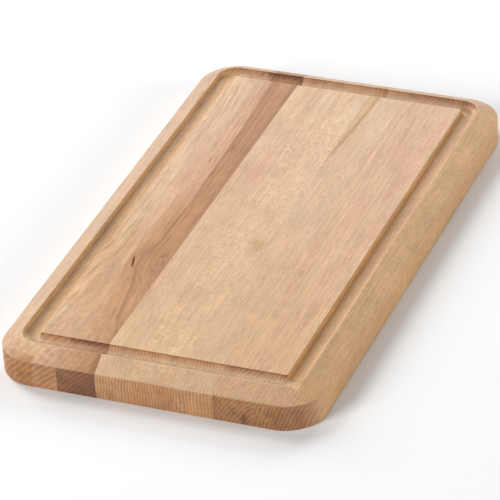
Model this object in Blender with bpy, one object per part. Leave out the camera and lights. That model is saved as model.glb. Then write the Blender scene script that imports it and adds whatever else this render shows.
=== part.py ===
"""A hardwood cutting board, edge-glued from six full-length staves.

The board lies flat with its underside on Z = 0. X runs across the staves, Y along their grain,
and the origin is the middle of the underside. The top carries a wide chamfer on all four sides,
a narrow flat rim inside it, a round-bottomed juice groove, and the flat cutting surface.

Every outline of the board is one rounded rectangle set further and further in, so that all the
corner arcs share a centre. The whole board is lofted through those outlines once, and each stave
and each film of glue is the slice of it between two planes across X.
"""

import math

import bmesh
import bpy

# Driving dimensions, in metres.
STAVE_WIDTHS = (0.0634, 0.0366, 0.0736, 0.0348, 0.0375, 0.0531)  # left to right
LENGTH = 0.530
THICKNESS = 0.034
CORNER_RADIUS = 0.037  # of the vertical corners
CHAMFER_RUN = 0.0177  # how far the chamfer reaches in from the side
CHAMFER_DROP = 0.0092  # how far it falls from the top
RIM_WIDTH = 0.0016  # flat left between the chamfer and the groove
GROOVE_WIDTH = 0.0153
GROOVE_DEPTH = 0.006
GROOVE_FILLET = 0.0055  # radius that rounds each wall of the groove into its floor
FOOT_EASE = 0.0012  # radius of the eased lower edge
JOINT_GAP = 0.0003  # clearance between two staves, where the glue lies
GLUE_FILM = 0.0001  # thickness of the cured glue

WIDTH = sum(STAVE_WIDTHS)

CORNER_STEPS = 16  # straight edges in each quarter turn of an outline
GROOVE_STEPS = 7  # and in each fillet of the groove
EASE_STEPS = 3  # and in the eased lower edge
SHARP_ANGLE = math.radians(25)  # a fold sharper than this keeps its edge in the shading

# Each stave's name and its finish: material name, base colour (linear RGB) and roughness.
STAVES = (
    ("left_edge_stave", ("maple_striped", (0.71, 0.47, 0.30), 0.52)),
    ("heartwood_stave", ("maple_heartwood", (0.50, 0.28, 0.17), 0.55)),
    ("curly_stave", ("maple_curly", (0.78, 0.55, 0.36), 0.50)),
    ("streaked_stave", ("maple_streaked", (0.74, 0.51, 0.34), 0.50)),
    ("plain_stave", ("maple_plain", (0.72, 0.49, 0.32), 0.50)),
    ("right_edge_stave", ("maple_rift", (0.69, 0.46, 0.30), 0.52)),
)
GLUE_FINISH = ("cured_glue", (0.52, 0.36, 0.20), 0.35)


def clear_scene():
    for obj in list(bpy.data.objects):
        bpy.data.objects.remove(obj, do_unlink=True)


def make_material(name, colour, roughness):
    material = bpy.data.materials.new(name)
    material.use_nodes = True
    shader = material.node_tree.nodes["Principled BSDF"]
    shader.inputs["Base Color"].default_value = (*colour, 1.0)
    shader.inputs["Roughness"].default_value = roughness
    shader.inputs["Metallic"].default_value = 0.0
    return material


def rounded_outline(inset, height):
    """Points of the board's outline moved in by inset, counter-clockwise, at this height."""
    radius = CORNER_RADIUS - inset
    centre_x = WIDTH / 2 - CORNER_RADIUS
    centre_y = LENGTH / 2 - CORNER_RADIUS
    points = []
    for quarter, (side_x, side_y) in enumerate(((1, 1), (-1, 1), (-1, -1), (1, -1))):
        for step in range(CORNER_STEPS + 1):
            angle = (quarter + step / CORNER_STEPS) * math.pi / 2
            x = side_x * centre_x + radius * math.cos(angle)
            y = side_y * centre_y + radius * math.sin(angle)
            points.append((x, y, height))
    return points


def eased_foot():
    """(inset, height) pairs up the rounded lower edge, from the underside to the side."""
    pairs = []
    for step in range(EASE_STEPS + 1):
        angle = step / EASE_STEPS * math.pi / 2
        inset = FOOT_EASE * (1 - math.sin(angle))
        height = FOOT_EASE * (1 - math.cos(angle))
        pairs.append((inset, height))
    return pairs


def groove_section():
    """(inset, height) pairs across the groove, from its outer lip to its inner lip."""
    outer = CHAMFER_RUN + RIM_WIDTH
    inner = outer + GROOVE_WIDTH
    fillet_height = THICKNESS - GROOVE_DEPTH + GROOVE_FILLET
    pairs = [(outer, THICKNESS)]
    for step in range(GROOVE_STEPS + 1):
        angle = step / GROOVE_STEPS * math.pi / 2
        inset = outer + GROOVE_FILLET * (1 - math.cos(angle))
        pairs.append((inset, fillet_height - GROOVE_FILLET * math.sin(angle)))
    for step in range(GROOVE_STEPS + 1):
        angle = (1 - step / GROOVE_STEPS) * math.pi / 2
        inset = inner - GROOVE_FILLET * (1 - math.cos(angle))
        pairs.append((inset, fillet_height - GROOVE_FILLET * math.sin(angle)))
    pairs.append((inner, THICKNESS))
    return pairs


def board_section():
    """(inset, height) pairs from the underside, up the side and in over the top."""
    shoulder = [(0.0, THICKNESS - CHAMFER_DROP), (CHAMFER_RUN, THICKNESS)]
    return eased_foot() + shoulder + groove_section()


def loft_board():
    """The whole board as one closed bmesh, before it is sliced."""
    board = bmesh.new()
    rings = []
    for inset, height in board_section():
        rings.append([board.verts.new(point) for point in rounded_outline(inset, height)])
    for lower, upper in zip(rings, rings[1:]):
        count = len(lower)
        for index in range(count):
            following = (index + 1) % count
            board.faces.new((lower[index], lower[following], upper[following], upper[index]))
    board.faces.new(tuple(reversed(rings[0])))
    board.faces.new(rings[-1])
    return board


def cut(solid, x, keep_above):
    """Keeps the side of the plane at x that keep_above names, and closes the cut."""
    found = bmesh.ops.bisect_plane(
        solid,
        geom=solid.verts[:] + solid.edges[:] + solid.faces[:],
        plane_co=(x, 0, 0),
        plane_no=(1, 0, 0),
        clear_inner=keep_above,
        clear_outer=not keep_above,
    )
    rim = [item for item in found["geom_cut"] if isinstance(item, bmesh.types.BMEdge)]
    bmesh.ops.triangle_fill(solid, edges=rim, use_beauty=True)


def make_slice(name, board, low, high, material):
    """An object holding the part of the board between two planes; None leaves that side whole."""
    solid = board.copy()
    if low is not None:
        cut(solid, low, keep_above=True)
    if high is not None:
        cut(solid, high, keep_above=False)
    bmesh.ops.recalc_face_normals(solid, faces=solid.faces[:])
    mesh = bpy.data.meshes.new(name)
    solid.to_mesh(mesh)
    solid.free()
    mesh.shade_smooth()
    mesh.set_sharp_from_angle(angle=SHARP_ANGLE)
    mesh.materials.append(material)
    obj = bpy.data.objects.new(name, mesh)
    bpy.context.scene.collection.objects.link(obj)
    return obj


def joint_planes():
    """X of each glued joint, from left to right."""
    planes = []
    x = -WIDTH / 2
    for width in STAVE_WIDTHS[:-1]:
        x += width
        planes.append(x)
    return planes


def make_staves(board):
    planes = joint_planes()
    lows = [None] + [x + JOINT_GAP / 2 for x in planes]
    highs = [x - JOINT_GAP / 2 for x in planes] + [None]
    for low, high, (name, finish) in zip(lows, highs, STAVES):
        make_slice(name, board, low, high, make_material(*finish))


def make_glue_lines(board):
    material = make_material(*GLUE_FINISH)
    for index, x in enumerate(joint_planes(), start=1):
        low, high = x - GLUE_FILM / 2, x + GLUE_FILM / 2
        make_slice(f"glue_line_{index}", board, low, high, material)


def main():
    clear_scene()
    board = loft_board()
    make_staves(board)
    make_glue_lines(board)
    board.free()


main()
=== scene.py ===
"""The looks of the maple cutting board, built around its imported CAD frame.

Every stave and glue line is made again as a fine mesh with eased arrises, in the place of its CAD
node. The wood is solid maple in three dimensions: growth rings round a pith, fibres along Y and
rays across them, so that each face, the groove and the end grain show the same rings.
"""

import math

import bmesh
import bpy
from mathutils import Matrix, Vector


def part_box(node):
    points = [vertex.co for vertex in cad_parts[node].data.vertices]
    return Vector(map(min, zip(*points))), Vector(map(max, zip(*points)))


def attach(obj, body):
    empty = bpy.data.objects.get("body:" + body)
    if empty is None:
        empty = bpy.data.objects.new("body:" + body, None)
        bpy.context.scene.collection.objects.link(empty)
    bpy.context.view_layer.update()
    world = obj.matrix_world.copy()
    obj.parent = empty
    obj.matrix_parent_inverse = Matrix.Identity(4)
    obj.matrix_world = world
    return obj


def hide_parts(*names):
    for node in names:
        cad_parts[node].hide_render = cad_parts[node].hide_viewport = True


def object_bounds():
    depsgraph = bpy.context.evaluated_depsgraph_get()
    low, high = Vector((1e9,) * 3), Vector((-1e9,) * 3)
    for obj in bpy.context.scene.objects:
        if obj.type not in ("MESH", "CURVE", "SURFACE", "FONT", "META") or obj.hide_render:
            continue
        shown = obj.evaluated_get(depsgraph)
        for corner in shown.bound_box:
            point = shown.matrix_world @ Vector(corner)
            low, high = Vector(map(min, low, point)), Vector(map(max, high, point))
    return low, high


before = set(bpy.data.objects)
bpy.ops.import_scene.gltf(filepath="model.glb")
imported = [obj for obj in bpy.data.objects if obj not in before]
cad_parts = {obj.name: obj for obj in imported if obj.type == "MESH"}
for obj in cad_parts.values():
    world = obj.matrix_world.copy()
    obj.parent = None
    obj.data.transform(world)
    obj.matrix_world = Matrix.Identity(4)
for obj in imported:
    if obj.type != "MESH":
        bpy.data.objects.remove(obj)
CAD_LOW, CAD_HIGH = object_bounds()

# The board's section, in metres, as the CAD model has it.
CORNER_RADIUS = 0.037
CHAMFER_RUN = 0.0177
CHAMFER_DROP = 0.0092
RIM_WIDTH = 0.0016
GROOVE_WIDTH = 0.0153
GROOVE_DEPTH = 0.006
GROOVE_FILLET = 0.0055
FOOT_EASE = 0.0012

# What the sandpaper left of each sharp edge, in metres.
SHOULDER_EASE = 0.0012  # where the side meets the chamfer
CREST_EASE = 0.0012  # where the chamfer meets the rim
LIP_EASE = 0.00055  # the two lips of the groove

WIDTH = CAD_HIGH.x - CAD_LOW.x
LENGTH = CAD_HIGH.y - CAD_LOW.y
THICKNESS = CAD_HIGH.z - CAD_LOW.z

CORNER_STEPS = 40  # straight edges in each quarter turn of an outline
EASE_STEPS = 5  # and in each eased arris
LIP_STEPS = 6
FILLET_STEPS = 14  # and where the groove's wall meets its floor
SHARP_ANGLE = math.radians(35)  # a fold sharper than this keeps its edge in the shading
SUPPORT = 0.00025  # most that a support point stands off from the arc beside it

MM = 1000.0  # the wood's patterns are laid out in millimetres
TOP = THICKNESS * MM
FRONT_FACE = -LENGTH * MM / 2

# The studio, in metres and degrees.
FLOOR_HALF = 12.0
FLOOR_DROP = 0.0002  # keeps the floor clear of the underside
FLOOR_GREY = (0.90, 0.90, 0.90, 1.0)
ROOM_LIGHT = 0.06
SOFTBOX_SIZE = 2.0
SOFTBOX_DISTANCE = 5.0
SOFTBOXES = (
    ("back_softbox", 180, 30, 98),
    ("left_softbox", 240, 25, 84),
    ("high_left_softbox", 240, 50, 94),
    ("front_softbox", 330, 25, 194),
    ("right_softbox", 90, 15, 138),
)  # name, azimuth, elevation and watts
LENS = 274.73  # millimetres, on a sensor 36 mm wide
CAMERA_TARGET = Vector((-0.00835, -0.00658, 0.0))
CAMERA_AZIMUTH = 23.2735
CAMERA_ELEVATION = 32.4986
CAMERA_DISTANCE = 3.4635
CAMERA_ROLL = -3.7075


# ---------------------------------------------------------------- the board's shape


def fillet(before, corner, after, radius, steps):
    """Points of the arc that rounds a corner of the section, with a support point on each side."""
    inward = (before - corner).normalized()
    onward = (after - corner).normalized()
    half = math.acos(max(-1.0, min(1.0, inward.dot(onward)))) / 2
    reach = radius / math.tan(half)
    centre = corner + (inward + onward).normalized() * (radius / math.sin(half))
    start = corner + inward * reach
    end = corner + onward * reach
    support = min(0.25 * radius, SUPPORT)
    points = [start + inward * support]
    first, last = start - centre, end - centre
    sweep = first.angle_signed(last)
    for step in range(steps + 1):
        turn = Matrix.Rotation(-sweep * step / steps, 2)
        points.append(centre + turn @ first)
    points.append(end + onward * support)
    return points


def board_section():
    """(inset, height) points from the underside, up the side, over the chamfer and the groove."""
    outer = CHAMFER_RUN + RIM_WIDTH
    inner = outer + GROOVE_WIDTH
    floor = THICKNESS - GROOVE_DEPTH
    shoulder = THICKNESS - CHAMFER_DROP
    fillet_radius = GROOVE_FILLET - 0.0001  # so that its supports don't reach the lip's
    corners = (
        ((0.0, 0.0), FOOT_EASE, EASE_STEPS),
        ((0.0, shoulder), SHOULDER_EASE, EASE_STEPS),
        ((CHAMFER_RUN, THICKNESS), CREST_EASE, EASE_STEPS),
        ((outer, THICKNESS), LIP_EASE, LIP_STEPS),
        ((outer, floor), fillet_radius, FILLET_STEPS),
        ((inner, floor), fillet_radius, FILLET_STEPS),
        ((inner, THICKNESS), LIP_EASE, LIP_STEPS),
    )
    path = [Vector((CHAMFER_RUN, 0.0))]
    path += [Vector(corner) for corner, _, _ in corners]
    path.append(Vector((inner + CHAMFER_RUN, THICKNESS)))
    points = []
    for index, (_, radius, steps) in enumerate(corners, start=1):
        points += fillet(path[index - 1], path[index], path[index + 1], radius, steps)
    return points


def rounded_outline(inset, height):
    """The board's rounded rectangle moved in by inset, counter-clockwise, at this height."""
    radius = CORNER_RADIUS - inset
    centre_x = WIDTH / 2 - CORNER_RADIUS
    centre_y = LENGTH / 2 - CORNER_RADIUS
    points = []
    for quarter, (side_x, side_y) in enumerate(((1, 1), (-1, 1), (-1, -1), (1, -1))):
        for step in range(CORNER_STEPS + 1):
            angle = (quarter + step / CORNER_STEPS) * math.pi / 2
            x = side_x * centre_x + radius * math.cos(angle)
            y = side_y * centre_y + radius * math.sin(angle)
            points.append((x, y, height))
    return points


def loft_board():
    """The whole board as one closed bmesh, before it is cut into staves."""
    board = bmesh.new()
    rings = []
    for inset, height in board_section():
        rings.append([board.verts.new(point) for point in rounded_outline(inset, height)])
    for lower, upper in zip(rings, rings[1:]):
        count = len(lower)
        for index in range(count):
            following = (index + 1) % count
            board.faces.new((lower[index], lower[following], upper[following], upper[index]))
    board.faces.new(tuple(reversed(rings[0])))
    board.faces.new(rings[-1])
    return board


def cut(solid, x, keep_above):
    """Keeps the side of the plane at x that keep_above names, and closes the cut."""
    found = bmesh.ops.bisect_plane(
        solid,
        geom=solid.verts[:] + solid.edges[:] + solid.faces[:],
        plane_co=(x, 0, 0),
        plane_no=(1, 0, 0),
        clear_inner=keep_above,
        clear_outer=not keep_above,
    )
    rim = [item for item in found["geom_cut"] if isinstance(item, bmesh.types.BMEdge)]
    bmesh.ops.triangle_fill(solid, edges=rim, use_beauty=True)


def object_from(name, solid):
    """A smoothly shaded object in the scene, made from the closed bmesh."""
    bmesh.ops.recalc_face_normals(solid, faces=solid.faces[:])
    mesh = bpy.data.meshes.new(name)
    solid.to_mesh(mesh)
    solid.free()
    mesh.shade_smooth()
    mesh.set_sharp_from_angle(angle=SHARP_ANGLE)
    obj = bpy.data.objects.new(name, mesh)
    bpy.context.scene.collection.objects.link(obj)
    return obj


def slice_of(board, name, low, high):
    """The part of the board between two planes across X; None leaves that side whole."""
    solid = board.copy()
    if low is not None:
        cut(solid, low, keep_above=True)
    if high is not None:
        cut(solid, high, keep_above=False)
    return object_from(name, solid)


# ---------------------------------------------------------------- node graphs as formulas


def srgb(red, green, blue):
    """A colour given the way a colour picker shows it, 0 to 255, as linear RGBA."""
    linear = []
    for channel in (red, green, blue):
        share = channel / 255
        linear.append(share / 12.92 if share <= 0.04045 else ((share + 0.055) / 1.055) ** 2.4)
    return (*linear, 1.0)


class Term:
    """A number in a material's node graph, so that a formula reads as one."""

    def __init__(self, graph, socket):
        self.graph = graph
        self.socket = socket

    def __add__(self, other):
        return self.graph.math("ADD", self, other)

    def __radd__(self, other):
        return self.graph.math("ADD", other, self)

    def __sub__(self, other):
        return self.graph.math("SUBTRACT", self, other)

    def __rsub__(self, other):
        return self.graph.math("SUBTRACT", other, self)

    def __mul__(self, other):
        return self.graph.math("MULTIPLY", self, other)

    def __truediv__(self, other):
        return self.graph.math("DIVIDE", self, other)

    def __abs__(self):
        return self.graph.math("ABSOLUTE", self)


class Graph:
    """A material's node tree, with one short method for each kind of node that the wood uses."""

    def __init__(self, name):
        self.material = bpy.data.materials.new(name)
        self.material.use_nodes = True
        self.tree = self.material.node_tree
        self.shader = self.tree.nodes["Principled BSDF"]

    def node(self, kind, **settings):
        """A new node of this kind, with its settings given."""
        made = self.tree.nodes.new(kind)
        for key, value in settings.items():
            setattr(made, key, value)
        return made

    def feed(self, socket, value):
        """Links a Term to the socket, or sets a plain number, vector or colour on it."""
        if isinstance(value, Term):
            self.tree.links.new(value.socket, socket)
        else:
            socket.default_value = value

    def math(self, operation, *values):
        """The result of one arithmetic operation."""
        made = self.node("ShaderNodeMath", operation=operation)
        for socket, value in zip(made.inputs, values):
            self.feed(socket, value)
        return Term(self, made.outputs[0])

    def place(self):
        """X, Y and Z of the point in millimetres, in the board's own frame."""
        coordinates = self.node("ShaderNodeTexCoord")
        parts = self.node("ShaderNodeSeparateXYZ")
        self.tree.links.new(coordinates.outputs["Object"], parts.inputs[0])
        return [Term(self, parts.outputs[axis]) * MM for axis in range(3)]

    def facing(self):
        """How far the surface faces along X, Y and Z, each from -1 to 1."""
        coordinates = self.node("ShaderNodeTexCoord")
        parts = self.node("ShaderNodeSeparateXYZ")
        self.tree.links.new(coordinates.outputs["Normal"], parts.inputs[0])
        return [Term(self, parts.outputs[axis]) for axis in range(3)]

    def vector(self, *values):
        """Three numbers as one vector."""
        made = self.node("ShaderNodeCombineXYZ")
        for socket, value in zip(made.inputs, values):
            self.feed(socket, value)
        return Term(self, made.outputs[0])

    def noise(self, where, size, seed=0.0, detail=2.0, rough=0.5):
        """Soft noise from 0 to 1 whose blots measure size, (X, Y, Z) in the units of where."""
        mapping = self.node("ShaderNodeMapping")
        self.feed(mapping.inputs["Vector"], where)
        mapping.inputs["Scale"].default_value = [1 / extent for extent in size]
        mapping.inputs["Location"].default_value = (seed, 2.3 * seed, 5.1 * seed)
        made = self.node("ShaderNodeTexNoise")
        made.inputs["Scale"].default_value = 1.0
        made.inputs["Detail"].default_value = detail
        made.inputs["Roughness"].default_value = rough
        self.tree.links.new(mapping.outputs[0], made.inputs["Vector"])
        return Term(self, made.outputs[0])

    def lot(self, value, seed):
        """A number from 0 to 1 drawn for each whole value."""
        made = self.node("ShaderNodeTexWhiteNoise", noise_dimensions="1D")
        self.feed(made.inputs["W"], value + seed)
        return Term(self, made.outputs["Value"])

    def step(self, value, low, high):
        """0 below low, 1 above high and a smooth rise between; high may be the lower one."""
        made = self.node("ShaderNodeMapRange", interpolation_type="SMOOTHSTEP")
        self.feed(made.inputs["Value"], value)
        flip = high < low
        made.inputs["From Min"].default_value = min(low, high)
        made.inputs["From Max"].default_value = max(low, high)
        made.inputs["To Min"].default_value = 1.0 if flip else 0.0
        made.inputs["To Max"].default_value = 0.0 if flip else 1.0
        return Term(self, made.outputs[0])

    def window(self, value, low, high, soft):
        """1 between low and high, falling to 0 over soft on each side."""
        return self.step(value, low - soft, low) * self.step(value, high + soft, high)

    def route(self, value, points):
        """A smooth line through the points (value, result), held level beyond its ends."""
        places = [point[0] for point in points]
        results = [point[1] for point in points]
        low, high = min(places), max(places)
        least, most = min(results), max(results)
        made = self.node("ShaderNodeFloatCurve")
        curve = made.mapping.curves[0]
        scaled = sorted(
            ((place - low) / (high - low), (result - least) / (most - least))
            for place, result in points
        )
        while len(curve.points) < len(scaled):
            curve.points.new(0.5, 0.5)
        for point, spot in zip(curve.points, scaled):
            point.location = spot
        made.mapping.update()
        self.feed(made.inputs["Value"], (value - low) / (high - low))
        return Term(self, made.outputs[0]) * (most - least) + least

    def blend(self, factor, first, second, how="MIX"):
        """One colour laid over another."""
        made = self.node("ShaderNodeMix", data_type="RGBA", blend_type=how)
        self.feed(made.inputs["Factor"], factor)
        self.feed(made.inputs[6], first)
        self.feed(made.inputs[7], second)
        return Term(self, made.outputs[2])

    def scale(self, colour, amount):
        """The colour made lighter or darker by a number."""
        made = self.node("ShaderNodeVectorMath", operation="SCALE")
        self.feed(made.inputs[0], colour)
        self.feed(made.inputs["Scale"], amount)
        return Term(self, made.outputs[0])

    def bump(self, height, distance, strength):
        """A surface normal roughened by height, distance metres for each unit of it."""
        made = self.node("ShaderNodeBump")
        made.inputs["Strength"].default_value = strength
        made.inputs["Distance"].default_value = distance
        self.feed(made.inputs["Height"], height)
        return Term(self, made.outputs[0])


# ---------------------------------------------------------------- maple

LIGHT = srgb(229, 197, 160)
CREAM = srgb(217, 184, 150)
PALE = srgb(210, 173, 138)
PINK = srgb(206, 161, 132)
STRAW = srgb(201, 159, 110)
TAN = srgb(188, 142, 99)
AMBER = srgb(180, 128, 92)
ORANGE = srgb(188, 130, 84)
RESIN = srgb(168, 116, 62)
# The golden colour of painted shade on the groove's shaded walls.
SHADE_GOLD = srgb(200, 152, 88)
GREYED_TAN = srgb(192, 158, 132)
BROWN = srgb(140, 92, 63)
SIENNA = srgb(146, 92, 54)
UMBER = srgb(104, 66, 48)
MAROON = srgb(112, 62, 44)
CHAR = srgb(112, 84, 52)
GREYISH = srgb(210, 180, 148)
GLUE_DARK = srgb(170, 126, 88)
GLUE_LIGHT = srgb(188, 146, 106)
END_GRAIN_CAST = srgb(224, 203, 182)  # what oil does to the colour of open end grain

# Sizes of the grain's features along X, Y and Z, in millimetres; the fibres run along Y.
SWAY = (40, 300, 40)
RIPPLE = (7, 45, 7)
FADE = (14, 90, 14)
STRIPE = (5.0, 150, 5.0)
LINE = (1.8, 60, 1.8)
DASH = (1.6, 10, 1.6)
HAIR = (0.3, 5, 0.3)
CLOUD = (20, 36, 20)
# And those of the end grain, with the fibres along the last of the three.
RAY = (7, 0.45, 14)
PORE = (0.5, 0.5, 9)
BLOT = (9, 9, 30)


def wood(name, pith, spacing, figure, seed, end_level, stripes):
    """Solid maple: figure(graph, x, y, z) gives a stave's tone, its grain lines and its stain.

    pith is the (X, Z) of the growth centre in millimetres and spacing the width of a year's
    growth. end_level is how light the end grain is, and stripes how uneven the long grain is.
    """
    graph = Graph(name)
    x, y, z = graph.place()
    sideways, along, upward = graph.facing()
    along = abs(along)
    upright = graph.step(along, 0.15, 0.78) * graph.step(upward, 0.5, 0.2)
    end = graph.math("MAXIMUM", graph.step(along, 0.22, 0.97), upright)

    # Painted shade: the wood turns darker and more straw-coloured towards the front. It is more
    # straw-coloured down the right side too, where the upright face is darker low down and, as
    # painted shade, towards the front. Painted shade tints the shaded, rightward-facing walls of
    # the groove's two long runs golden, and painted light makes the groove's front run paler.
    tone, across, soak = figure(graph, x, y, z)
    # Painted shade: more straw and darker towards the front, where the board is less lit.
    front = graph.step(y, 150, -265) * (graph.step(x, -60, 140) * 0.20 + 0.36)
    front = front * (1.0 - graph.step(along, 0.20, 0.40) * graph.step(upward, 0.6, 0.8) * 0.5)
    side = graph.step(x, 126, 134) * graph.step(along, 0.80, 0.05)
    tone = graph.blend(graph.math("MAXIMUM", front, side * 0.85), tone, STRAW)
    # The right side darkens towards resin low down on its upright face, and, as painted shade,
    # towards the front.
    low_tone_and_front_shade = graph.step(z, 27, 21) * 0.12 + graph.step(y, 60, -240) * 0.13 + 0.03
    tone = graph.blend(side * low_tone_and_front_shade, tone, RESIN)
    # Painted shade: the rightward-facing walls of the groove's two long runs, which lie in shade,
    # are tinted golden.
    groove = graph.window(x, -131, -123, 5) * 0.42 + graph.window(x, 114, 121, 6) * 0.84
    groove = groove * graph.step(z, 33.8, 31) * graph.step(sideways, -0.30, 0.10)
    groove = groove * graph.step(abs(y), 249, 245)
    tone = graph.blend(groove, tone, SHADE_GOLD)
    # Painted light: the groove's front run is made paler, which also eases the end-grain darkening
    # of its walls.
    painted_light_trough = graph.window(y, -245, -231, 1) * graph.step(z, 33.9, 33.0)
    painted_light_trough = painted_light_trough * graph.step(abs(x), 131, 129.5)
    tone = graph.blend(painted_light_trough * (graph.step(x, -20, 120) * 0.52 + 0.16), tone, LIGHT)
    flow = graph.vector(across, y, z)

    # Growth rings, as distance from the pith with an unevenness of its own.
    sway = graph.noise(flow, SWAY, seed, 1.0) - 0.5
    ripple = graph.noise(flow, RIPPLE, seed + 3.7, 2.0) - 0.5
    fade = graph.noise(flow, FADE, seed + 7.1, 1.0)
    out_x = x + (across - x) * 0.3 - pith[0]
    out_z = z - pith[1]
    radius = graph.math("SQRT", out_x * out_x + out_z * out_z)
    years = (radius + sway * 9 + ripple * 2.6) / spacing
    year = graph.math("FLOOR", years)
    season = years - year
    luck = graph.lot(year, seed)
    late = graph.step(season, 0.40, 0.86) * graph.step(season, 1.0, 0.88)
    early = graph.step(season, 0.0, 0.14) * graph.step(season, 0.56, 0.20) * (fade * 0.9 + 0.5)
    ring = late * (luck * 0.7 + 0.3) * (fade * 0.9 + 0.5)

    # Fibres run along the flow: broad stripes, lines, and the short flecks of rays and pores.
    stripe = graph.noise(flow, STRIPE, seed + 11.0, 2.5, 0.6) - 0.5
    line = graph.noise(flow, LINE, seed + 17.0, 3.0, 0.7) - 0.5
    dash = graph.noise(flow, DASH, seed + 23.0, 2.5, 0.65) - 0.5
    hair = graph.noise(flow, HAIR, seed + 37.0, 2.0, 0.6) - 0.5
    cloud = graph.noise(flow, CLOUD, seed + 41.0, 2.0, 0.6) - 0.5
    long_shade = (
        1.0
        + stripe * (2.6 * stripes)
        + line * 0.56
        + dash * 0.58
        + hair * 0.18
        + cloud * 0.36
        + early * 0.04
        - ring * 0.055
    )

    # End grain: the same rings, much stronger, crossed by fine rays and open pores.
    turn = graph.math("ARCTAN2", out_z, out_x) * 80
    rays = graph.noise(graph.vector(radius, turn, y), RAY, seed + 29.0, 2.0, 0.6) - 0.5
    pores = graph.noise(graph.vector(x, z, y), PORE, seed + 31.0, 2.0, 0.7) - 0.5
    blot = graph.noise(graph.vector(x, z, y), BLOT, seed + 33.0, 2.0, 0.6) - 0.5
    end_shade = (
        end_level
        + blot * 0.70
        + stripe * 0.30
        + rays * 0.26
        + pores * 0.40
        + early * 0.24
        - ring * 0.20
    )
    long_wood = graph.scale(tone, long_shade)
    end_tone = graph.blend(1.0, tone, END_GRAIN_CAST, "MULTIPLY")
    end_wood = graph.scale(end_tone, end_shade)
    if soak is not None:
        # Heartwood and bruised grain drink more of the oil where they are cut across.
        dark = graph.scale(UMBER[:3], end_shade * 1.15)
        end_wood = graph.blend(soak * graph.step(along, 0.55, 0.92), end_wood, dark)
    colour = graph.blend(end, long_wood, end_wood)
    graph.feed(graph.shader.inputs["Base Color"], colour)

    graph.feed(graph.shader.inputs["Roughness"], 0.52 + line * 0.25 + end * 0.14)
    relief = line * 0.5 + dash * 0.5 + hair * 0.6 - ring * 0.2 + pores * (end * 0.9)
    graph.feed(graph.shader.inputs["Normal"], graph.bump(relief, 0.00012, 0.6))
    return graph.material


def front_end(graph, y):
    """1 on the end grain of the front face only."""
    return graph.step(y, FRONT_FACE + 2.5, FRONT_FACE + 0.5)


FAN_CENTRE = -86.0  # X of the grain line that runs straight on
FAN_START = -80.0  # Y from which the lines beside it spread
FAN_RATE = 0.0125  # their spread for each millimetre towards the front


def fan_out(graph, x, y):
    """The grain line that passes through a point, where the lines spread towards the front."""
    spread = graph.math("MAXIMUM", (FAN_START - y) * FAN_RATE, 0.0) + 1.0
    return (x - FAN_CENTRE) / spread + FAN_CENTRE


def spot(graph, x, y, centre, reach, core=0.0):
    """1 in the core of an ellipse, falling to 0 at its edge."""
    off_x = (x - centre[0]) / reach[0]
    off_y = (y - centre[1]) / reach[1]
    return graph.step(graph.math("SQRT", off_x * off_x + off_y * off_y), 1.0, core)


def striped_figure(graph, x, y, z):
    """Pale wood with pink and straw stripes, which fan out to the left in front of the knot."""
    across = fan_out(graph, x, y) + graph.step(y, 130, 250) * 9
    flow = graph.vector(across, y, z)
    pink = graph.step(graph.noise(flow, (6.0, 150, 6.0), 4.0, 2.0), 0.44, 0.64)
    straw = graph.step(graph.noise(flow, (2.6, 70, 2.6), 9.0, 2.5), 0.50, 0.64)
    flames = graph.window(y, -165, -55, 35) * graph.window(x, -120, -98, 6)
    near = graph.step(x, -108, -87)
    low = graph.step(y, 10, -90) * (1.0 - graph.step(y, -140, -200) * 0.6)
    seam = graph.noise(flow, (2.0, 80, 2.0), 15.0, 2.5)
    tone = graph.blend(pink * 0.65, CREAM, PINK)
    tone = graph.blend(straw * (flames * 0.60 + 0.30), tone, TAN)
    tone = graph.blend(flames * 0.30, tone, STRAW)
    tone = graph.blend(near * 0.45, tone, PINK)
    tone = graph.blend(near * low * 0.50, tone, TAN)
    tone = graph.blend(low * graph.step(seam, 0.50, 0.66) * 0.38, tone, AMBER)
    # Greyer and darker down the left side. The extra darkening towards the front is painted shade.
    grey_side_and_front_shade = graph.step(x, -126, -136) * (graph.step(y, 60, -240) * 0.30 + 0.65)
    tone = graph.blend(grey_side_and_front_shade, tone, GREYED_TAN)
    tone = graph.blend(graph.window(x, -132, -117, 3) * 0.45, tone, STRAW)
    corner = graph.step(x, -124, -128) * graph.step(y, -226, -238) * graph.step(z, 33.9, 33.2)
    torn = graph.step(graph.noise(flow, (2.4, 9, 2.4), 18.0, 2.0), 0.40, 0.60)
    tone = graph.blend(corner * (torn * 0.40 + 0.42), tone, AMBER)
    resin = graph.window(x, -123, -111, 5) * graph.step(y, -254, -263)
    tone = graph.blend(resin * 0.8, tone, RESIN)
    return tone, across, None


HEART_EDGE = (
    (-265, -38),
    (-217, -49.5),
    (-190, -58),
    (-164, -63),
    (-139, -67),
    (-118, -72),
    (-97, -75.5),
    (-80, -73.5),
    (-60, -69.5),
    (-22, -69.5),
    (6, -68),
    (49, -69),
    (107, -70),
    (159, -71.5),
    (230, -74),
    (265, -76),
)  # (Y, X) of the line along the top where the heartwood begins
HEART_LEAN = 1.2  # how far that line moves left for each millimetre down
KNOT = (-80.5, -103.0)  # centre of the slit knot
KNOT_RUN = (0.273, -0.962)  # the way it points
KNOT_HALF_LENGTH = 9.8
KNOT_HALF_WIDTH = 0.85
FLECKS = (
    ((-77.8, -89.5), (1.5, 2.6), 0.60),
    ((-58.5, -87.6), (1.7, 3.8), 0.95),
    ((-56.2, -84.0), (3.4, 8.0), 0.40),
    ((-54.8, -98.0), (1.2, 5.0), 0.45),
    ((-79.0, 78.0), (0.9, 6.0), 0.60),
    ((-66.8, 104.0), (1.0, 10.0), 0.60),
    ((-68.0, 58.0), (0.9, 9.0), 0.60),
)  # (X, Y), half sizes and depth of colour of small bark flecks


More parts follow.
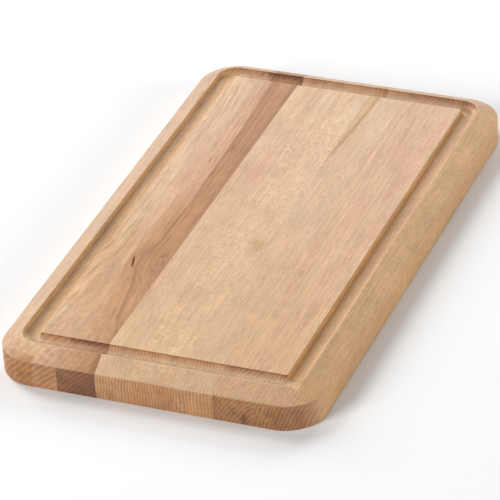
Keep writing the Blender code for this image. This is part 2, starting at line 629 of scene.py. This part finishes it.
def heart_figure(graph, x, y, z):
    """Pink sapwood beside a band of orange heartwood that bends round a slit knot."""
    bulge = spot(graph, x, y, (-66, -98), (22, 44))
    across = fan_out(graph, x, y) + bulge * 6
    flow = graph.vector(across, y, z)
    broad = graph.noise(flow, (5, 110, 5), 2.0, 2.0)
    fine = graph.noise(flow, (1.5, 55, 1.5), 6.0, 2.5)
    edge = graph.route(y, HEART_EDGE) - (TOP - z) * HEART_LEAN
    inside = x - edge + (fine - 0.5) * 2.4
    heart = graph.step(inside, -1.2, 2.0)
    tone = graph.blend(graph.step(broad, 0.38, 0.62) * 0.7, PALE, PINK)
    tone = graph.blend(graph.step(x, -90, -70) * 0.45, tone, AMBER)
    tone = graph.blend(graph.step(fine, 0.52, 0.66) * 0.30, tone, AMBER)
    amber = graph.blend(graph.step(broad, 0.40, 0.62) * 0.8, AMBER, TAN)
    amber = graph.blend(graph.step(y, 120, -60) * 0.70, amber, ORANGE)
    amber = graph.blend(graph.step(y, 100, 240) * 0.55, amber, TAN)
    amber = graph.blend(graph.step(fine, 0.48, 0.66) * 0.34, amber, BROWN)
    amber = graph.blend(graph.step(x, -60, -49) * 0.45, amber, BROWN)
    ripe = graph.step(y, 60, -60) * graph.step(inside, -26, -3)
    tone = graph.blend(ripe * 0.80, tone, ORANGE)
    tone = graph.blend(graph.step(fine, 0.48, 0.64) * ripe * 0.50, tone, SIENNA)
    tone = graph.blend(heart, tone, amber)
    dark_line = graph.window(inside, -0.5, 1.0, 1.8) * (graph.step(y, 20, -150) * 0.30 + 0.52)
    tone = graph.blend(dark_line * (broad * 0.6 + 0.7), tone, SIENNA)
    second = graph.window(inside + (broad - 0.5) * 6, 4.6, 5.4, 1.6)
    tone = graph.blend(second * 0.30, tone, BROWN)
    tip = spot(graph, x, y, (-69.6, -38), (2.6, 24))
    tone = graph.blend(tip * 0.7, tone, BROWN)
    # The grain round the knot is darker, and greyer on its right.
    swirl = spot(graph, x, y, (-66, -105), (34, 80)) * 0.38 + graph.step(y, -120, -230) * 0.12
    tone = graph.blend(swirl, tone, SIENNA)
    gloom = spot(graph, x, y, (-55, -106), (10, 19), 0.35) * (fine * 0.9 + 0.35)
    tone = graph.blend(gloom * 0.60, tone, BROWN)
    for centre, reach, depth in FLECKS:
        tone = graph.blend(spot(graph, x, y, centre, reach, 0.3) * depth, tone, MAROON)
    # The slit itself is dark brown, and stains the wood at its lips.
    far_x = x - KNOT[0]
    far_y = y - KNOT[1]
    run = (far_x * KNOT_RUN[0] + far_y * KNOT_RUN[1]) / KNOT_HALF_LENGTH
    side = abs(far_x * KNOT_RUN[1] - far_y * KNOT_RUN[0])
    gape = graph.math("MAXIMUM", 1.0 - run * run, 0.0) * KNOT_HALF_WIDTH
    stain = graph.step(side - gape, 2.0, 0.0) * graph.step(abs(run), 1.6, 0.9)
    tone = graph.blend(stain * 0.55, tone, BROWN)
    hollow = graph.step(side - gape, 0.25, -0.15) * graph.step(abs(run), 1.0, 0.97)
    tone = graph.blend(hollow, tone, CHAR)
    joint = graph.step(x, -57, -51) * graph.step(y, -236, -249)
    tone = graph.blend(joint * 0.75, tone, BROWN)
    return tone, across, heart * 0.12 + broad * 0.30 + 0.58


def curly_figure(graph, x, y, z):
    """The palest stave, with a mottled curl down its right half and a pink patch on its left."""
    wander = graph.noise(graph.vector(x, y, z), (60, 160, 60), 3.0, 1.0) - 0.5
    across = x + wander * 5
    flow = graph.vector(across, y, z)
    band = graph.noise(flow, (11, 90, 11), 5.0, 2.0)
    tone = graph.blend(graph.step(band, 0.36, 0.62) * 0.8, PALE, CREAM)
    mottle = graph.noise(flow, (4.6, 3.2, 7), 7.0, 2.0, 0.6)
    dapple = graph.noise(flow, (13, 30, 14), 8.0, 1.0)
    ragged = x + (dapple - 0.5) * 16
    place = graph.window(ragged, -13, 40, 7) * graph.window(y, -240, 175, 22)
    curl = place * graph.step(dapple, 0.25, 0.60)
    tone = graph.blend(curl * graph.step(mottle, 0.42, 0.62) * 0.75, tone, LIGHT)
    tone = graph.blend(curl * graph.step(mottle, 0.50, 0.34) * 0.40, tone, STRAW)
    tone = graph.blend(place * 0.10, tone, LIGHT)
    tone = graph.blend(graph.window(y, -150, 130, 60) * 0.22, tone, PINK)
    pink = spot(graph, x, y, (-30, 68), (24, 60))
    tone = graph.blend(pink * 0.75, tone, PINK)
    patch = spot(graph, x, y, (19, -49), (12, 22))
    tone = graph.blend(patch * 0.7, tone, TAN)
    blush = graph.window(x, -14, 24, 5) * front_end(graph, y)
    tone = graph.blend(blush * 0.35, tone, AMBER)
    return tone, across, None


STREAK_EDGE = (
    (40, 23),
    (98, 24.3),
    (130, 27),
    (162, 30.2),
    (195, 32),
    (232, 34),
    (265, 37),
)  # (Y, X) of the dark line that bounds the mineral streak


def streaked_figure(graph, x, y, z):
    """Greyish pale wood with a tan mineral streak, which runs out at the joint near mid-length."""
    flow = graph.vector(x, y, z)
    band = graph.noise(flow, (12, 80, 12), 12.0, 2.0)
    fine = graph.noise(flow, (1.4, 50, 1.4), 13.0, 2.5)
    tone = graph.blend(graph.step(band, 0.36, 0.62), PALE, GREYISH)
    past = x - graph.route(y, STREAK_EDGE) + (fine - 0.5) * 1.6
    back = graph.step(y, 60, 120)
    tone = graph.blend(graph.step(past, 0.6, -1.2) * back * 0.65, tone, STRAW)
    tone = graph.blend(graph.window(past, -1.8, 0.2, 1.2) * back * 0.85, tone, TAN)
    tone = graph.blend(graph.window(y, -200, 130, 60) * 0.26, tone, PINK)
    return tone, x, None


def plain_figure(graph, x, y, z):
    """Plain straight-grained wood with a little pink in it, bruised low at its front end."""
    flow = graph.vector(x, y, z)
    band = graph.noise(flow, (10, 70, 10), 21.0, 2.0)
    tone = graph.blend(graph.step(band, 0.38, 0.64) * 0.8, PALE, PINK)
    tone = graph.blend(front_end(graph, y) * 0.38, tone, RESIN)
    bruise = spot(graph, x, z, (87, 5), (6, 12)) * 0.75
    return tone, x, bruise + 0.10


def rift_figure(graph, x, y, z):
    """Rift-sawn wood whose outer edge carries a fine ripple across the grain."""
    flow = graph.vector(x, y, z)
    band = graph.noise(flow, (9, 80, 9), 26.0, 2.0)
    tone = graph.blend(graph.step(band, 0.38, 0.62) * 0.8, PALE, PINK)
    curl = graph.noise(flow, (8, 2.6, 9), 27.0, 2.0, 0.6)
    outer = graph.step(x, 124, 134) * (1.0 - graph.step(y, -225, -245) * 0.6)
    tone = graph.blend(outer * 0.15, tone, TAN)
    tone = graph.blend(outer * graph.step(curl, 0.54, 0.38) * 0.42, tone, BROWN)
    tone = graph.blend(outer * graph.step(curl, 0.50, 0.64) * 0.60, tone, LIGHT)
    resin = graph.noise(graph.vector(x, z, y), (10, 9, 200), 31.0, 1.0)
    resin = graph.step(resin, 0.50, 0.62) * 0.30 + graph.window(x, 113, 126, 3) * 0.25 + 0.38
    tone = graph.blend(resin * front_end(graph, y), tone, RESIN)
    return tone, x, graph.step(x, 105, 140) * 0.22


def glue_finish():
    """Cured wood glue, amber and a little glossy."""
    graph = Graph("cured_glue")
    x, y, z = graph.place()
    cloud = graph.noise(graph.vector(x, y, z), (1.5, 6, 1.5), 2.0, 2.0)
    colour = graph.blend(graph.step(cloud, 0.35, 0.65), GLUE_DARK, GLUE_LIGHT)
    graph.feed(graph.shader.inputs["Base Color"], colour)
    graph.feed(graph.shader.inputs["Roughness"], 0.34 + cloud * 0.14)
    graph.feed(graph.shader.inputs["Normal"], graph.bump(cloud, 0.00003, 0.4))
    return graph.material


# A stave's node, its material slot and the wood it was sawn from, in the order that wood() takes:
# pith, spacing, figure, seed, end_level and stripes.
STAVES = (
    ("left_edge_stave", "maple_striped", ((-38, -39), 4.0, striped_figure, 1.0, 0.84, 0.10)),
    ("heartwood_stave", "maple_heartwood", ((4, -45), 3.4, heart_figure, 2.0, 0.92, 0.09)),
    ("curly_stave", "maple_curly", ((-260, 12), 2.75, curly_figure, 3.0, 0.87, 0.06)),
    ("streaked_stave", "maple_streaked", ((310, 20), 3.1, streaked_figure, 4.0, 0.90, 0.06)),
    ("plain_stave", "maple_plain", ((136, -36), 3.2, plain_figure, 5.0, 0.74, 0.07)),
    ("right_edge_stave", "maple_rift", ((236, -34), 3.2, rift_figure, 6.0, 0.72, 0.07)),
)


# ---------------------------------------------------------------- the pieces


def knot_cutter():
    """The slit knot's hollow, a lens that narrows downwards, as a closed mesh."""
    solid = bmesh.new()
    run = Vector((KNOT_RUN[0], KNOT_RUN[1], 0.0))
    side = Vector((-KNOT_RUN[1], KNOT_RUN[0], 0.0))
    centre = Vector((*KNOT, TOP))
    # Heights over the board's top in millimetres, and the share of the slit's size at each.
    levels = ((1.5, 1.06), (0.0, 1.0), (-0.5, 0.86), (-1.0, 0.6), (-1.5, 0.2))
    count = 28
    rings = []
    for height, share in levels:
        ring = []
        for index in range(count):
            angle = 2 * math.pi * index / count
            rough = 1 + 0.10 * math.sin(5 * angle + 2 * height) + 0.06 * math.sin(9 * angle)
            along = KNOT_HALF_LENGTH * math.cos(angle) * (0.35 + 0.65 * share)
            width = KNOT_HALF_WIDTH * math.sin(angle) * abs(math.sin(angle)) ** 0.6
            point = centre + run * along + side * (width * share * rough)
            point.z += height
            ring.append(solid.verts.new(point / MM))
        rings.append(ring)
    for upper, lower in zip(rings, rings[1:]):
        for index in range(count):
            following = (index + 1) % count
            solid.faces.new((upper[index], upper[following], lower[following], lower[index]))
    solid.faces.new(tuple(reversed(rings[0])))
    solid.faces.new(rings[-1])
    return object_from("knot_cutter", solid)


def open_knot(stave):
    """Cuts the slit knot's hollow out of the stave."""
    cutter = knot_cutter()
    boolean = stave.modifiers.new("knot", "BOOLEAN")
    boolean.operation = "DIFFERENCE"
    boolean.object = cutter
    graph = bpy.context.evaluated_depsgraph_get()
    stave.data = bpy.data.meshes.new_from_object(stave.evaluated_get(graph))
    stave.modifiers.clear()
    bpy.data.objects.remove(cutter)
    stave.data.set_sharp_from_angle(angle=SHARP_ANGLE)


def settle(piece, node, material):
    """Gives a finished piece its material and its place in the frame."""
    piece.data.materials.clear()
    piece.data.materials.append(material)
    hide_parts(node)
    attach(piece, "root")


def make_board():
    """The six staves and, in the gaps between them, the five films of glue."""
    board = loft_board()
    films = [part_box(f"glue_line_{number}") for number in range(1, len(STAVES))]
    lows = [None] + [high.x for _, high in films]
    highs = [low.x for low, _ in films] + [None]
    for low, high, (node, slot, sawn) in zip(lows, highs, STAVES):
        stave = slice_of(board, f"{node}_wood", low, high)
        if node == "heartwood_stave":
            open_knot(stave)
        settle(stave, node, wood(slot, *sawn))
    glue = glue_finish()
    for number, (low, high) in enumerate(films, start=1):
        film = slice_of(board, f"glue_line_{number}_film", low.x, high.x)
        settle(film, f"glue_line_{number}", glue)
    board.free()


# ---------------------------------------------------------------- the studio


def direction(azimuth, elevation):
    """The way to something seen round the board: azimuth 0 is its front, 90 its right."""
    turn, lift = math.radians(azimuth), math.radians(elevation)
    return Vector(
        (math.sin(turn) * math.cos(lift), -math.cos(turn) * math.cos(lift), math.sin(lift))
    )


def make_floor():
    """A wide pale floor just under the board."""
    mesh = bpy.data.meshes.new("studio_floor")
    sides = ((-1, -1), (1, -1), (1, 1), (-1, 1))
    corners = [(x * FLOOR_HALF, y * FLOOR_HALF, -FLOOR_DROP) for x, y in sides]
    mesh.from_pydata(corners, [], [(0, 1, 2, 3)])
    floor = bpy.data.objects.new("studio_floor", mesh)
    bpy.context.scene.collection.objects.link(floor)
    material = bpy.data.materials.new("studio_floor")
    material.use_nodes = True
    shader = material.node_tree.nodes["Principled BSDF"]
    shader.inputs["Base Color"].default_value = FLOOR_GREY
    shader.inputs["Roughness"].default_value = 1.0
    shader.inputs["Specular IOR Level"].default_value = 0.0
    mesh.materials.append(material)


def make_softbox(name, azimuth, elevation, watts):
    """A square light that faces the middle of the board."""
    data = bpy.data.lights.new(name, "AREA")
    data.shape = "SQUARE"
    data.size = SOFTBOX_SIZE
    data.energy = watts
    lamp = bpy.data.objects.new(name, data)
    towards = direction(azimuth, elevation)
    lamp.location = towards * SOFTBOX_DISTANCE
    lamp.rotation_mode = "QUATERNION"
    lamp.rotation_quaternion = towards.to_track_quat("Z", "Y")
    bpy.context.scene.collection.objects.link(lamp)


def make_light():
    """Five softboxes round the board and a weak even light from everywhere."""
    world = bpy.data.worlds.new("studio")
    world.use_nodes = True
    background = world.node_tree.nodes["Background"]
    background.inputs["Color"].default_value = (1.0, 1.0, 1.0, 1.0)
    background.inputs["Strength"].default_value = ROOM_LIGHT
    bpy.context.scene.world = world
    for softbox in SOFTBOXES:
        make_softbox(*softbox)


def make_camera():
    """A long lens from the front right, a little above, with its horizon tipped slightly."""
    data = bpy.data.cameras.new("camera")
    data.lens = LENS
    data.sensor_width = 36.0
    data.clip_start = 0.1
    data.clip_end = 60.0
    camera = bpy.data.objects.new("camera", data)
    bpy.context.scene.collection.objects.link(camera)
    back = direction(CAMERA_AZIMUTH, CAMERA_ELEVATION)
    level_right = (-back).cross(Vector((0, 0, 1))).normalized()
    level_up = level_right.cross(-back)
    roll = math.radians(CAMERA_ROLL)
    right = level_right * math.cos(roll) + level_up * math.sin(roll)
    up = level_up * math.cos(roll) - level_right * math.sin(roll)
    turn = Matrix((right, up, back)).transposed().to_4x4()
    camera.matrix_world = Matrix.Translation(CAMERA_TARGET + back * CAMERA_DISTANCE) @ turn
    bpy.context.scene.camera = camera


def main():
    """The whole scene."""
    make_camera()
    make_light()
    make_floor()
    make_board()
    bpy.context.scene.view_settings.view_transform = "Standard"


main()
